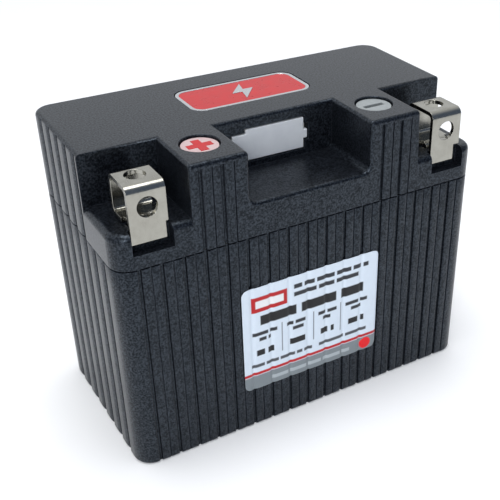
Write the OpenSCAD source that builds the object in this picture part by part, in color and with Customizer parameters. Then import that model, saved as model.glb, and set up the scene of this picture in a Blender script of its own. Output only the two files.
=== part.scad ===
// Twelve-volt lithium motorcycle battery: ribbed case, stepped cover with two
// open-front terminal recesses, a balance port, folded strap terminals and the
// four-cell pack inside. Origin at the bottom centre, X along the long side,
// Y towards the back, Z up. All sizes in millimetres.

/* [Case] */
// Overall length of case and cover
body_w = 113; // [94:1:136]
// Overall depth over the rib tops, labels left out
body_d = 57.6; // [50:0.2:68]
// Overall height
body_h = 89; // [86:1:107]
// Radius of the upright corners
corner_r = 5.4; // [4:0.1:7]
// Wall thickness of case and cover
wall = 2.4; // [2:0.1:3]
// Floor thickness of the case
floor_t = 2.4; // [2:0.1:4]
// Height of the seam between case and cover
seam_z = 64.4; // [58:0.2:66]
// Open height of the seam line
seam_gap = 0.4; // [0.3:0.05:0.6]
// Width of the weld ring that closes the seam
seal_w = 1.2; // [0.8:0.1:1.3]
// Rounding of the bottom edge
base_round = 0.9; // [0.5:0.1:1.5]
// Depth of the hollow under the floor
foot_depth = 0.6; // [0.4:0.1:1]
// Width of the rim left standing around it
foot_rim = 6; // [6:0.5:9]

/* [Ribs] */
// Distance from one line to the next along the long sides
rib_pitch = 3.05; // [2.6:0.05:4]
// Distance between grooves on the two ends
end_pitch = 6.6; // [5:0.1:9]
// How far the end grooves sit behind the middle
end_shift = 0.6; // [0:0.1:1.5]
// Width of a deep groove
groove_w = 0.9; // [0.6:0.1:1.3]
// Depth of a deep groove
groove_d = 0.9; // [0.5:0.1:1.1]
// Bevel at the mouth of a deep groove
groove_bevel = 0.35; // [0.1:0.05:0.45]
// Width of a fine line between two grooves
line_w = 0.42; // [0.2:0.02:0.6]
// Depth of a fine line
line_d = 0.4; // [0.1:0.05:0.5]
// How far the rolled shoulder of an end groove reaches from its middle
shoulder_reach = 2.1; // [1.8:0.1:2.4]
// Depth to which that shoulder sinks
shoulder_sink = 0.4; // [0.3:0.05:0.45]

/* [Cover] */
// Rounding of the deck edge
deck_round = 1.2; // [0.8:0.1:1.8]
// Length of each terminal recess from the end of the battery
recess_w = 21.4; // [19:0.2:23]
// Width of each pillar between the recesses
pillar_w = 16.5; // [14.5:0.5:18]
// Distance from the middle to the back wall of the recesses
recess_y = 8.7; // [6:0.1:10]
// Depth of the recesses below the deck
recess_depth = 14.7; // [14.4:0.1:17.7]
// Rounding of the low walls around the terminal shelves
shelf_round = 2; // [1:0.1:2.6]
// Corner radius at the bottom of the middle recess
recess_r = 2; // [1:0.5:4]
// How far the locating lip reaches down into the case
lip_h = 3; // [2:0.5:4]
// Thickness of the locating lip
lip_t = 1.4; // [1:0.1:1.6]
// Gap between the lip and the case wall
lip_gap = 0.2; // [0.1:0.05:0.4]
// Share of the wall below the shelf that the leg pocket takes
pocket_share = 0.61; // [0.55:0.01:0.7]
// Free space beside the terminal leg in its pocket
pocket_side = 0.5; // [0.3:0.1:1]
// Wall behind and below the leg pocket
pocket_wall = 1.4; // [1:0.1:1.6]

/* [Terminals] */
// Distance from the end of the battery to the terminal's middle
term_in = 10.6; // [9:0.1:12]
// Width of the terminal strap
term_w = 10.2; // [9:0.1:12.3]
// Thickness of the terminal strap
term_t = 1.2; // [0.8:0.1:1.5]
// Outside radius of the bends
bend_r = 2.2; // [1.8:0.1:2.8]
// Height of the terminal's top below the deck
term_drop = 2.8; // [2.2:0.1:3.4]
// Distance of the front leg behind the front face
term_back = 1.6; // [1:0.1:2]
// Depth of the terminal from front leg to back leg
term_d = 11.8; // [11.4:0.1:13]
// Gap between the bottom plate and the shelf
term_lift = 0.5; // [0.3:0.1:0.8]
// Share of the wall below the shelf that the front leg covers
leg_share = 0.38; // [0.3:0.01:0.45]
// Radius of the two bolt holes (M5 bolt)
hole_r = 2.75; // [2.5:0.05:3.2]
// Front hole below the terminal's top
front_hole_drop = 6; // [5.6:0.1:6.6]
// Top hole behind the terminal's front face
top_hole_back = 6.6; // [5.6:0.1:7]
// Side step of the positive leg
positive_step = 0.7; // [0.4:0.1:2.5]
// Side step of the negative leg
negative_step = 1.9; // [0.4:0.1:2.5]
// Gap between the cover's locating lip and the terminal tail
tail_gap = 1; // [0.95:0.05:1.2]
// Width of the tail inside the battery
tail_w = 8; // [6:0.5:8.5]
// Radius of the rivet that joins tail and strap
rivet_r = 1; // [0.8:0.1:1.3]

/* [Deck pieces] */
// Diameter of the polarity discs
disc_d = 10; // [8:0.2:11]
// Thickness of the polarity discs
disc_t = 0.8; // [0.6:0.05:0.9]
// Gap around a disc in its pocket
disc_gap = 0.4; // [0.2:0.1:0.6]
// Depth of the disc pockets
disc_pocket = 1.4; // [1:0.05:1.5]
// Distance of the discs from the middle towards the front
disc_y = 17.5; // [16:0.1:19]
// Arm length of the plus sign
plus_l = 7; // [4.6:0.2:7]
// Arm width of the plus sign
plus_w = 2.3; // [1.5:0.1:2.5]
// Length of the minus sign
minus_l = 6.4; // [4:0.2:6.6]
// Width of the minus sign
minus_w = 1.5; // [1:0.1:2]
// Length of the emblem plate
emblem_w = 38; // [26:0.5:44]
// Height of the emblem plate
emblem_d = 17; // [14:0.5:20]
// Emblem position behind the middle
emblem_y = 10.2; // [9:0.1:11]
// Thickness of the emblem plate
emblem_t = 0.8; // [0.7:0.05:0.9]
// Width of the emblem's bright rim
emblem_rim = 1.1; // [0.8:0.1:1.6]

/* [Labels] */
// Length of a label
label_w = 45.6; // [36:0.2:60]
// Height of a label
label_h = 34.8; // [28:0.2:40]
// Lower edge of a label above the floor
label_z = 13.7; // [8:0.1:16]
// Label thickness
label_t = 0.2; // [0.1:0.05:0.3]
// Label corner radius
label_r = 2; // [0.5:0.1:4]

/* [Balance port] */
// Length of the port cap's face
cap_w = 18.4; // [16.8:0.1:20]
// Height of the port cap's face
cap_h = 9.2; // [8.6:0.1:9.4]
// Height of the cap's lower edge above the recess floor
cap_lift = 2; // [1.8:0.1:2.4]
// Thickness of the cap's face
cap_t = 1.7; // [1.2:0.1:2]
// Length of the grip ear on the cap's left
ear_w = 4.2; // [3:0.1:5]
// How much lower the ear is than the face
ear_drop = 1.2; // [0.5:0.1:2]
// Length of the small tab on the cap's right
tab_w = 1.2; // [0.8:0.1:1.8]
// Gap around the cap in its window
cap_gap = 0.3; // [0.3:0.05:0.5]
// How far the cap's plug reaches into the socket
plug_l = 4.4; // [3:0.1:5]
// Number of contacts in the port
pin_n = 5; // [5:1:5]
// Distance between contacts
pin_pitch = 2.5; // [2:0.1:2.6]
// Side of a square contact
pin_w = 0.64; // [0.5:0.02:0.8]
// Length of the socket's hollow
cup_w = 13.6; // [12.8:0.1:14]
// Height of the socket's hollow
cup_h = 4.8; // [4.4:0.1:5.2]
// Depth of the socket's hollow
cup_d = 7.3; // [6.5:0.1:8]
// Wall of the socket
cup_wall = 1.4; // [1:0.1:1.6]

/* [Cell pack] */
// Space at each end of the cells
cell_end = 4.1; // [4:0.1:5]
// Foam between two cells
pad_t = 1.2; // [0.8:0.1:2]
// Foam in front of and behind the pack
end_pad_t = 2.6; // [1.5:0.1:3.5]
// Foam under the pack
base_pad_t = 1.6; // [1:0.1:3]
// Thickness of the cells' top seam
flange_t = 1.4; // [1:0.1:2]
// Height of the cells' top seam
flange_h = 4; // [3:0.5:5]
// Width of a cell tab
lug_w = 12; // [8:0.5:12]
// Thickness of a cell tab
lug_t = 0.4; // [0.3:0.05:0.5]
// Thickness of the tab board
tab_board_t = 1.6; // [1.2:0.1:2]
// Distance from the seam down to the tab board's top
tab_board_drop = 6.8; // [6.6:0.1:8]
// Thickness of links and straps
strap_t = 0.8; // [0.6:0.1:1]
// Height of the posts under the balance board
post_h = 6; // [5:0.5:6.5]
// Depth of the balance board
board_d = 36; // [34:0.5:38]
// Thickness of the balance board
board_t = 1.6; // [1:0.1:2]
// Diameter of the balance leads
lead_d = 1.4; // [1:0.1:1.6]

/* [Hidden] */
$fn = 48;
eps = 0.01;
half_w = body_w / 2;
half_d = body_d / 2;
shelf_z = body_h - recess_depth;
case_top = seam_z - seam_gap / 2;
cover_base = seam_z + seam_gap / 2;
front_n = 2 * floor((half_w - corner_r) / rib_pitch + 0.5);
end_n = floor((half_d - corner_r) / end_pitch);
pillar_out = half_w - recess_w;
pillar_in = pillar_out - pillar_w;
pillar_x = (pillar_out + pillar_in) / 2;
inner_w = body_w - 2 * wall;
inner_d = body_d - 2 * wall;
inner_r = corner_r - wall;
groove_top = body_h - deck_round - 0.3;
groove_run = body_h - 0.5;
recess_back = -recess_y + wall;
term_x = half_w - term_in;
term_front = -half_d + term_back;
term_rear = term_front + term_d;
term_top = body_h - term_drop;
term_base = shelf_z + term_lift;
leg_end = shelf_z - leg_share * (shelf_z - cover_base);
tail_y = -half_d + wall + lip_gap + lip_t + tail_gap;
step_z = shelf_z + 0.9;
pocket_drop = pocket_share * (shelf_z - cover_base);
pocket_z = shelf_z - pocket_drop;
pocket_back = tail_y - 0.5 - pocket_wall;
cap_z = shelf_z + cap_lift;
port_z = cap_z + cap_h / 2;
cap_tab_z = cap_z + 2.8;
cap_tab_h = 2.7;
plug_w = cup_w - 2 * cap_gap;
plug_h = cup_h - 2 * cap_gap;
plug_wall = 0.8;
flange_y = recess_back;
flange_depth = 1.2;
flange_side = 1.2;
cup_back = flange_y + cup_d;
pin_tip = flange_y + 1.8;
pin_end = cup_back + 4.2;
cell_w = inner_w - 2 * cell_end;
cell_t = (inner_d - 0.8 - 2 * end_pad_t - 3 * pad_t) / 4;
cell_pitch = cell_t + pad_t;
cell_z = floor_t + base_pad_t;
board_top = seam_z - tab_board_drop;
board_low = board_top - tab_board_t;
flange_top = board_low - 3;
shoulder_z = flange_top - flange_h - 3;
lug_x = cell_w * 0.34;
lug_reach = cell_pitch / 2 - 0.4;
strap_z = board_top + lug_t;
strap_top = strap_z + strap_t;
seal_h = 1.5;
riser_top = shelf_z - wall - seal_h - 0.4;
rivet_head = rivet_r * 1.8;
rivet_z = pocket_z - pocket_wall - rivet_head - 0.4;
tail_end = rivet_z - 3;
boss_r = 1.8;
boss_x = inner_w / 2 - boss_r - 0.2;
boss_y = inner_d / 2 - 8.4;
screw_r = 1;
head_r = screw_r * 1.75;
strap_edge = min(term_x + tail_w / 2, boss_x - head_r - 0.4);
pcb_w = 2 * lug_x - 16;
pcb_low = board_top + post_h;
pcb_top = pcb_low + board_t;
post_x = pcb_w / 2 - 7;
post_dy = board_d / 2 - 5;
post_r = 2.5;
pcb_y = 1.5 * cell_pitch + 0.4 - post_r - post_dy;
post_sides = 6;
lead_r = lead_d / 2;
lead_rings = 8;
lead_sides = 8;

ABS_BLACK = [0.13, 0.14, 0.16];
BRIGHT = [0.78, 0.78, 0.75];
COPPER = [0.72, 0.43, 0.26];
MILKY = [0.82, 0.84, 0.85];
FOAM = [0.30, 0.31, 0.33];

// ---- outline shared by case and cover ----

// rectangle with round corners, centred
module round_rect(w, d, r) {
    union() {
        square([w - 2 * r, d], center = true);
        square([w, d - 2 * r], center = true);
        for (sx = [-1, 1], sy = [-1, 1])
            translate([sx * (w / 2 - r), sy * (d / 2 - r)])
                circle(r = r);
    }
}

// block with upright round corners and a rounded top edge, standing on z = 0
module round_top(w, d, h, corner, edge) {
    linear_extrude(h - edge)
        round_rect(w, d, corner);
    translate([0, 0, h - edge]) {
        linear_extrude(edge)
            round_rect(w - 2 * edge, d - 2 * edge, corner - edge);
        for (s = [-1, 1]) {
            translate([0, s * (d / 2 - edge), 0])
                rotate([0, 90, 0])
                    cylinder(r = edge, h = w - 2 * corner, center = true);
            translate([s * (w / 2 - edge), 0, 0])
                rotate([90, 0, 0])
                    cylinder(r = edge, h = d - 2 * corner, center = true);
        }
        for (sx = [-1, 1], sy = [-1, 1])
            translate([sx * (w / 2 - corner), sy * (d / 2 - corner), 0])
                rotate_extrude()
                    intersection() {
                        translate([corner - edge, 0])
                            circle(r = edge);
                        square([corner, edge]);
                    }
    }
}

// deep groove, cut into a wall whose face is the line y = 0, wall below it
module groove_shape() {
    out = 0.5;
    half = groove_w / 2;
    mouth = half + groove_bevel;
    polygon([
        [-mouth, out], [-mouth, 0], [-half, -groove_bevel], [-half, -groove_d],
        [half, -groove_d], [half, -groove_bevel], [mouth, 0], [mouth, out]
    ]);
}

// groove of an end wall, with rolled shoulders that make soft waves of the ribs
module end_groove_shape() {
    out = 0.5;
    half = groove_w / 2;
    far = shoulder_reach;
    near = half + 0.5;
    polygon([
        [-far, out], [-far, 0], [-(far + near) / 2, -0.15 * shoulder_sink],
        [-near, -0.55 * shoulder_sink], [-half, -shoulder_sink], [-half, -groove_d],
        [half, -groove_d], [half, -shoulder_sink], [near, -0.55 * shoulder_sink],
        [(far + near) / 2, -0.15 * shoulder_sink], [far, 0], [far, out]
    ]);
}

// fine line between two grooves, same reference
module line_shape() {
    translate([-line_w / 2, -line_d])
        square([line_w, line_d + 0.5]);
}

function line_x(k) = (k - (front_n - 1) / 2) * rib_pitch;
function end_y(k) = end_shift + k * end_pitch;

// grooves and lines of a long side between two x limits; side -1 front, 1 back
module side_grooves(side, low, high) {
    for (k = [0 : front_n - 1])
        if (line_x(k) > low && line_x(k) < high)
            translate([line_x(k), side * half_d])
                mirror([0, side > 0 ? 0 : 1])
                    if (k % 2 == 0) groove_shape();
                    else line_shape();
}

// grooves of both ends for y above the limit
module end_grooves(low) {
    for (k = [-end_n : end_n], side = [-1, 1])
        if (end_y(k) > low && abs(end_y(k)) < half_d - corner_r - 1)
            translate([side * half_w, end_y(k)])
                rotate(-90 * side)
                    end_groove_shape();
}

// ---- case ----

module case_part() {
    color(ABS_BLACK)
    difference() {
        union() {
            difference() {
                translate([0, 0, case_top])
                    mirror([0, 0, 1])
                        round_top(body_w, body_d, case_top, corner_r, base_round);
                translate([0, 0, floor_t])
                    linear_extrude(body_h)
                        round_rect(inner_w, inner_d, inner_r);
            }
            for (sx = [-1, 1], sy = [-1, 1])
                translate([sx * boss_x, sy * boss_y, floor_t - eps]) {
                    cylinder(r = boss_r, h = board_low - floor_t + eps);
                    translate([sx > 0 ? 0 : -boss_r - 0.4, -boss_r / 2, 0])
                        cube([boss_r + 0.4, boss_r, board_low - floor_t + eps]);
                }
        }
        translate([0, 0, -1])
            linear_extrude(case_top + 2) {
                side_grooves(-1, -half_w, half_w);
                side_grooves(1, -half_w, half_w);
                end_grooves(-half_d);
            }
        translate([0, 0, -1])
            linear_extrude(1 + foot_depth)
                round_rect(body_w - 2 * foot_rim, body_d - 2 * foot_rim, 2);
        for (sx = [-1, 1], sy = [-1, 1])
            translate([sx * boss_x, sy * boss_y, board_low - 7])
                cylinder(r = screw_r, h = 8);
    }
}

// weld ring between case and cover
module seam_seal() {
    inset = groove_d + 0.15;
    color([0.05, 0.05, 0.06])
    translate([0, 0, case_top])
        linear_extrude(seam_gap)
            difference() {
                round_rect(body_w - 2 * inset, body_d - 2 * inset, corner_r - inset);
                round_rect(body_w - 2 * inset - 2 * seal_w,
                    body_d - 2 * inset - 2 * seal_w, corner_r - inset - seal_w);
            }
}

// ---- cover ----

// the three recesses; grow pushes their walls outwards
module recess_blocks(grow) {
    far = 20;
    for (s = [-1, 1])
        translate([s > 0 ? pillar_out - grow : -half_w - far, -half_d - far, shelf_z - grow])
            cube([recess_w + far + grow, half_d + far - recess_y + grow, far + recess_depth]);
    translate([0, -recess_y + grow, 0])
        rotate([90, 0, 0])
            linear_extrude(half_d + far)
                translate([-pillar_in - grow, shelf_z - grow])
                    recess_section(2 * (pillar_in + grow), recess_depth + far, recess_r + grow);
}

// front view of the middle recess: open top, two round lower corners
module recess_section(w, h, r) {
    translate([r, 0])
        square([w - 2 * r, h]);
    translate([0, r])
        square([w, h - r]);
    for (x = [r, w - r])
        translate([x, r])
            circle(r = r);
}

// pocket in the front wall that takes the lower end of a terminal leg
module leg_pocket(s, grow) {
    w = term_w + 2 * pocket_side + 2 * grow;
    translate([s * term_x - w / 2, -half_d - (grow > 0 ? 0 : 1), pocket_z - grow])
        cube([w, half_d + pocket_back + grow + (grow > 0 ? 0 : 1), pocket_drop + (grow > 0 ? 0 : 1)]);
}

// window for the port cap, ear and tab included
module port_window() {
    translate([0, -recess_y - 1, 0]) {
        translate([-cap_w / 2 - cap_gap, 0, cap_z - cap_gap])
            cube([cap_w + 2 * cap_gap, wall + 2, cap_h + 2 * cap_gap]);
        translate([-cap_w / 2 - ear_w - cap_gap, 0, cap_z - cap_gap])
            cube([ear_w + 1, wall + 2, cap_h - ear_drop + 2 * cap_gap]);
        translate([cap_w / 2 - 1, 0, cap_tab_z - 0.4])
            cube([tab_w + 1 + cap_gap, wall + 2, 4.9]);
    }
}

// outside of the cover: full block with the recesses cut, low rounded walls left
module cover_block() {
    far = 20;
    difference() {
        translate([0, 0, cover_base])
            round_top(body_w, body_d, body_h - cover_base, corner_r, deck_round);
        recess_blocks(0);
        for (s = [-1, 1])
            translate([s > 0 ? pillar_out : -half_w - far, -half_d - far, cover_base - 1])
                cube([recess_w + far, half_d + far - recess_y, body_h]);
    }
    translate([0, 0, cover_base])
        round_top(body_w, body_d, shelf_z - cover_base, corner_r, shelf_round);
}

module cover() {
    cavity_h = body_h - wall - cover_base;
    color(ABS_BLACK)
    difference() {
        union() {
            difference() {
                cover_block();
                difference() {
                    translate([0, 0, cover_base - 1])
                        linear_extrude(cavity_h + 1)
                            round_rect(inner_w, inner_d, inner_r);
                    recess_blocks(wall);
                    for (s = [-1, 1])
                        leg_pocket(s, pocket_wall);
                }
            }
            cover_lip();
        }
        translate([0, 0, cover_base - 1]) {
            linear_extrude(groove_top - cover_base + 1) {
                side_grooves(-1, -pillar_out + 1.8, -pillar_in - 1.8);
                side_grooves(-1, pillar_in + 1.8, pillar_out - 1.8);
            }
            linear_extrude(groove_run - cover_base + 1) {
                side_grooves(1, -half_w, half_w);
                end_grooves(-recess_y + 2);
            }
        }
        for (s = [-1, 1]) {
            leg_pocket(s, 0);
            translate([s * term_x - tail_w / 2 - 0.4, tail_y - 0.3, shelf_z - wall - 1])
                cube([tail_w + 0.8, bend_r + 0.3, wall + 2]);
            translate([s * pillar_x, -disc_y, body_h - disc_pocket])
                cylinder(r = disc_d / 2 + disc_gap, h = 2);
        }
        port_window();
        translate([0, emblem_y, body_h - emblem_t - 0.1])
            linear_extrude(2)
                round_rect(emblem_w + 0.5, emblem_d + 0.5, 4.25);
    }
}

// lip that locates the cover inside the case
module cover_lip() {
    low = cover_base - seam_gap - lip_h;
    outer = wall + lip_gap;
    translate([0, 0, low])
        linear_extrude(cover_base - low)
            ring(outer, outer + lip_t);
    translate([0, 0, cover_base])
        linear_extrude(2)
            ring(wall - 0.2, outer + lip_t);
}

// flat ring between two insets from the body outline
module ring(a, b) {
    difference() {
        round_rect(body_w - 2 * a, body_d - 2 * a, corner_r - a);
        round_rect(body_w - 2 * b, body_d - 2 * b, max(corner_r - b, 0.8));
    }
}

// ---- labels and deck pieces ----

module label_sheet(side) {
    translate([0, side * half_d, label_z + label_h / 2])
        rotate([90, 0, 0])
            translate([0, 0, side > 0 ? -label_t : 0])
                linear_extrude(label_t)
                    round_rect(label_w, label_h, label_r);
}

module front_label() {
    color([0.84, 0.88, 0.94])
        label_sheet(-1);
}

module rear_label() {
    color([0.84, 0.88, 0.94])
        label_sheet(1);
}

// zigzag bolt drawn about the origin, s its height
module bolt_shape(s) {
    polygon(s * [
        [0.14, 0.5], [-0.34, -0.06], [-0.05, -0.06], [-0.14, -0.5],
        [0.34, 0.1], [0.05, 0.1]
    ]);
}

module emblem_plate() {
    low = body_h - emblem_t - 0.1;
    color(BRIGHT)
    translate([0, emblem_y, low])
        difference() {
            linear_extrude(emblem_t)
                round_rect(emblem_w, emblem_d, 4);
            translate([0, 0, emblem_t - 0.3])
                linear_extrude(1)
                    round_rect(emblem_w - 2 * emblem_rim, emblem_d - 2 * emblem_rim,
                        4 - emblem_rim);
        }
}

module emblem_face() {
    color([0.75, 0.08, 0.10])
    translate([0, emblem_y, body_h - 0.4])
        linear_extrude(0.22)
            difference() {
                round_rect(emblem_w - 2 * emblem_rim, emblem_d - 2 * emblem_rim,
                    4 - emblem_rim);
                bolt_shape(emblem_d * 0.66);
            }
}

module emblem_bolt() {
    color(BRIGHT)
    translate([0, emblem_y, body_h - 0.4])
        linear_extrude(0.34)
            bolt_shape(emblem_d * 0.66);
}

module marker_disc() {
    translate([0, 0, body_h - disc_pocket])
        cylinder(r = disc_d / 2, h = disc_t);
}

module positive_marker() {
    color([0.90, 0.86, 0.86])
    translate([-pillar_x, -disc_y, 0])
        difference() {
            marker_disc();
            translate([0, 0, body_h - disc_pocket + disc_t - 0.3])
                linear_extrude(1)
                    plus_shape();
        }
}

module plus_shape() {
    square([plus_l, plus_w], center = true);
    square([plus_w, plus_l], center = true);
}

module plus_sign() {
    color([0.78, 0.10, 0.12])
    translate([-pillar_x, -disc_y, body_h - disc_pocket + disc_t - 0.3])
        linear_extrude(0.34)
            plus_shape();
}

module negative_marker() {
    color([0.72, 0.73, 0.74])
    translate([pillar_x, -disc_y, 0])
        difference() {
            marker_disc();
            translate([-minus_l / 2, -minus_w / 2, body_h - 2])
                cube([minus_l, minus_w, 3]);
        }
}

// ---- terminals ----

// quarter bend about the origin, filling the quadrant (qy, qz)
module bend_shape(qy, qz) {
    intersection() {
        difference() {
            circle(r = bend_r);
            circle(r = bend_r - term_t);
        }
        translate([qy > 0 ? 0 : -bend_r, qz > 0 ? 0 : -bend_r])
            square(bend_r);
    }
}

// side view of the folded strap above the tail
module strap_section() {
    front = term_front;
    rear = term_rear;
    translate([front, step_z])
        square([term_t, term_top - bend_r - step_z]);
    translate([front + bend_r, term_top - bend_r])
        bend_shape(-1, 1);
    translate([front + bend_r, term_top - term_t])
        square([term_d - 2 * bend_r, term_t]);
    translate([rear - bend_r, term_top - bend_r])
        bend_shape(1, 1);
    translate([rear - term_t, term_base + bend_r])
        square([term_t, term_top - term_base - 2 * bend_r]);
    translate([rear - bend_r, term_base + bend_r])
        bend_shape(1, -1);
    translate([tail_y + bend_r, term_base])
        square([rear - tail_y - 2 * bend_r, term_t]);
}

// side view of the tail that drops through the shelf
module tail_section() {
    translate([tail_y + bend_r, term_base + term_t - bend_r])
        bend_shape(-1, 1);
    translate([tail_y, tail_end])
        square([term_t, term_base + term_t - bend_r - tail_end]);
}

// stands a side view up and gives it a width along X
module across(w) {
    translate([-w / 2, 0, 0])
        rotate([90, 0, 90])
            linear_extrude(w)
                children();
}

// one terminal; s is its side of the battery, step the cut-back of its leg
module terminal(s, step) {
    color(BRIGHT)
    translate([s * term_x, 0, 0])
        difference() {
            union() {
                across(term_w)
                    strap_section();
                across(tail_w)
                    tail_section();
                translate([-term_w / 2, term_front, leg_end])
                    cube([term_w - step, term_t, step_z - leg_end]);
            }
            translate([0, term_front - 1, term_top - front_hole_drop])
                rotate([-90, 0, 0])
                    cylinder(r = hole_r, h = term_t + 2);
            translate([0, term_front + top_hole_back, term_top - term_t - 1])
                cylinder(r = hole_r, h = term_t + 2);
            translate([0, tail_y - 1, rivet_z])
                rotate([-90, 0, 0])
                    cylinder(r = rivet_r, h = term_t + 2);
        }
}

module positive_terminal() {
    terminal(-1, positive_step);
}

module negative_terminal() {
    terminal(1, negative_step);
}

// potting around each tail under the shelf
module tail_seals() {
    color([0.08, 0.08, 0.09])
    for (s = [-1, 1])
        translate([s * term_x, 0, shelf_z - wall - seal_h])
            difference() {
                translate([-tail_w / 2 - 1.4, tail_y - 0.4, 0])
                    cube([tail_w + 2.8, bend_r + 1.6, seal_h]);
                translate([-tail_w / 2, tail_y, -1])
                    cube([tail_w, term_t, 4]);
            }
}

// rivets through tail and strap
module tail_rivets() {
    grip = term_t + strap_t;
    color(BRIGHT)
    for (s = [-1, 1])
        translate([s * term_x, tail_y, rivet_z])
            rotate([-90, 0, 0]) {
                translate([0, 0, -0.6])
                    cylinder(r = rivet_head, h = 0.6);
                cylinder(r = rivet_r, h = grip);
                translate([0, 0, grip])
                    cylinder(r = rivet_head, h = 0.6);
            }
}

// ---- balance port ----

module port_socket() {
    body_w2 = cup_w + 2 * cup_wall;
    body_h2 = cup_h + 2 * cup_wall;
    color([0.92, 0.92, 0.88])
    difference() {
        union() {
            translate([-cap_w / 2 - ear_w - flange_side, flange_y, cap_z - flange_side])
                cube([cap_w + ear_w + tab_w + 2 * flange_side, flange_depth,
                    body_h - wall - 0.4 - cap_z + flange_side]);
            translate([-body_w2 / 2, flange_y, port_z - body_h2 / 2])
                cube([body_w2, cup_d + 2, body_h2]);
        }
        translate([-cup_w / 2, flange_y - 1, port_z - cup_h / 2])
            cube([cup_w, cup_d + 1, cup_h]);
        pin_row(flange_y, cup_back + 4, pin_w + 0.06);
    }
}

// square contacts from y0 to y1
module pin_row(y0, y1, side) {
    for (k = [0 : pin_n - 1])
        translate([(k - (pin_n - 1) / 2) * pin_pitch - side / 2, y0, port_z - side / 2])
            cube([side, y1 - y0, side]);
}

module port_pins() {
    color(BRIGHT)
        pin_row(pin_tip, pin_end, pin_w);
}

// removable cap: flat face with ear and tab, hollow plug behind it
module port_cap() {
    color(MILKY) {
        difference() {
            union() {
                translate([-cap_w / 2, -recess_y, cap_z])
                    cube([cap_w, cap_t, cap_h]);
                translate([-cap_w / 2 - ear_w, -recess_y, cap_z])
                    cube([ear_w + 1, cap_t, cap_h - ear_drop]);
                translate([cap_w / 2 - 1, -recess_y, cap_tab_z])
                    cube([tab_w + 1, cap_t, cap_tab_h]);
                translate([-plug_w / 2, -recess_y, port_z - plug_h / 2])
                    cube([plug_w, cap_t + plug_l, plug_h]);
            }
            translate([-plug_w / 2 + plug_wall, -recess_y + cap_t, port_z - plug_h / 2 + plug_wall])
                cube([plug_w - 2 * plug_wall, plug_l + 1, plug_h - 2 * plug_wall]);
        }
    }
}

// ---- cell pack ----

function cell_y(i) = (i - 2.5) * cell_pitch;

// pouch cell: soft-cornered body, sloping shoulders and a flat top seam
module cell(i) {
    half = cell_t / 2;
    color([0.74, 0.76, 0.78])
    translate([0, cell_y(i), 0]) {
        translate([0, 0, cell_z])
            linear_extrude(shoulder_z - cell_z)
                round_rect(cell_w, cell_t, 1.6);
        translate([-cell_w / 2 + 1.6, 0, 0])
            rotate([90, 0, 90])
                linear_extrude(cell_w - 3.2)
                    polygon([
                        [-half, shoulder_z], [half, shoulder_z],
                        [flange_t / 2, shoulder_z + 3], [flange_t / 2, flange_top],
                        [-flange_t / 2, flange_top], [-flange_t / 2, shoulder_z + 3]
                    ]);
    }
}

// one tab: rises through the board and lies flat along dir
module lug(x, y, dir) {
    translate([x - lug_w / 2, y - lug_t / 2, flange_top])
        cube([lug_w, lug_t, strap_z - flange_top]);
    translate([x - lug_w / 2, dir > 0 ? y - lug_t / 2 : y + lug_t / 2 - lug_reach, board_top])
        cube([lug_w, lug_reach, lug_t]);
}

// side of the battery on which cell i has its positive tab
function plus_side(i) = i % 2 == 1 ? -1 : 1;

module positive_lugs() {
    color([0.80, 0.81, 0.82])
    for (i = [1 : 4])
        lug(plus_side(i) * lug_x, cell_y(i), -1);
}

module negative_lugs() {
    color(COPPER)
    for (i = [1 : 4])
        lug(-plus_side(i) * lug_x, cell_y(i), 1);
}

module cell_pads() {
    color(FOAM)
    for (i = [1 : 3])
        translate([-cell_w / 2 + 1, cell_y(i) + cell_t / 2, cell_z])
            cube([cell_w - 2, pad_t, shoulder_z - cell_z]);
}

module end_pads() {
    color(FOAM)
    for (s = [-1, 1])
        translate([-cell_w / 2 + 1,
            s > 0 ? cell_y(4) + cell_t / 2 : cell_y(1) - cell_t / 2 - end_pad_t, cell_z])
            cube([cell_w - 2, end_pad_t, shoulder_z - cell_z]);
}

module base_pad() {
    color(FOAM)
    translate([-cell_w / 2, -inner_d / 2 + 1, floor_t])
        cube([cell_w, inner_d - 2, base_pad_t]);
}

// glass-fibre board the tabs pass through
module tab_board() {
    color([0.55, 0.62, 0.36])
    translate([0, 0, board_low])
        linear_extrude(tab_board_t)
            difference() {
                round_rect(inner_w - 0.8, inner_d - 0.8, inner_r - 0.4);
                for (i = [1 : 4], s = [-1, 1])
                    translate([s * lug_x, cell_y(i)])
                        square([lug_w + 0.8, lug_t + 0.8], center = true);
                for (sx = [-1, 1], sy = [-1, 1])
                    translate([sx * boss_x, sy * boss_y])
                        circle(r = screw_r + 0.1);
            }
}

// pan-head screw, its head's underside at z = 0
module small_screw(length) {
    head = 0.9;
    difference() {
        union() {
            translate([0, 0, -length])
                cylinder(r = screw_r - 0.02, h = length + eps);
            cylinder(r = head_r, h = head);
        }
        for (a = [0, 90])
            rotate(a)
                translate([-screw_r, -0.15, head - 0.45])
                    cube([2 * screw_r, 0.3, 1]);
    }
}

module tab_board_screws() {
    color(BRIGHT)
    for (sx = [-1, 1], sy = [-1, 1])
        translate([sx * boss_x, sy * boss_y, board_top])
            small_screw(tab_board_t + 5);
}

// plates that join neighbouring cells in series
module series_links() {
    color(BRIGHT)
    for (i = [1 : 3])
        translate([-plus_side(i) * lug_x - lug_w / 2, cell_y(i) - 0.6, strap_z])
            cube([lug_w, cell_pitch + 1.2, strap_t]);
}

// upright end of a main strap, riveted to a terminal tail
module riser(s) {
    translate([s * term_x, 0, 0])
        difference() {
            translate([-tail_w / 2, tail_y + term_t, strap_z])
                cube([tail_w, strap_t, riser_top - strap_z]);
            translate([0, tail_y, rivet_z])
                rotate([-90, 0, 0])
                    cylinder(r = rivet_r, h = term_t + strap_t + 2);
        }
}

module positive_strap() {
    front = tail_y + term_t;
    color(COPPER) {
        riser(-1);
        translate([-strap_edge, front, strap_z])
            cube([strap_edge - lug_x + lug_w / 2,
                cell_y(1) + cell_pitch / 2 - 0.6 - front, strap_t]);
    }
}

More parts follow.
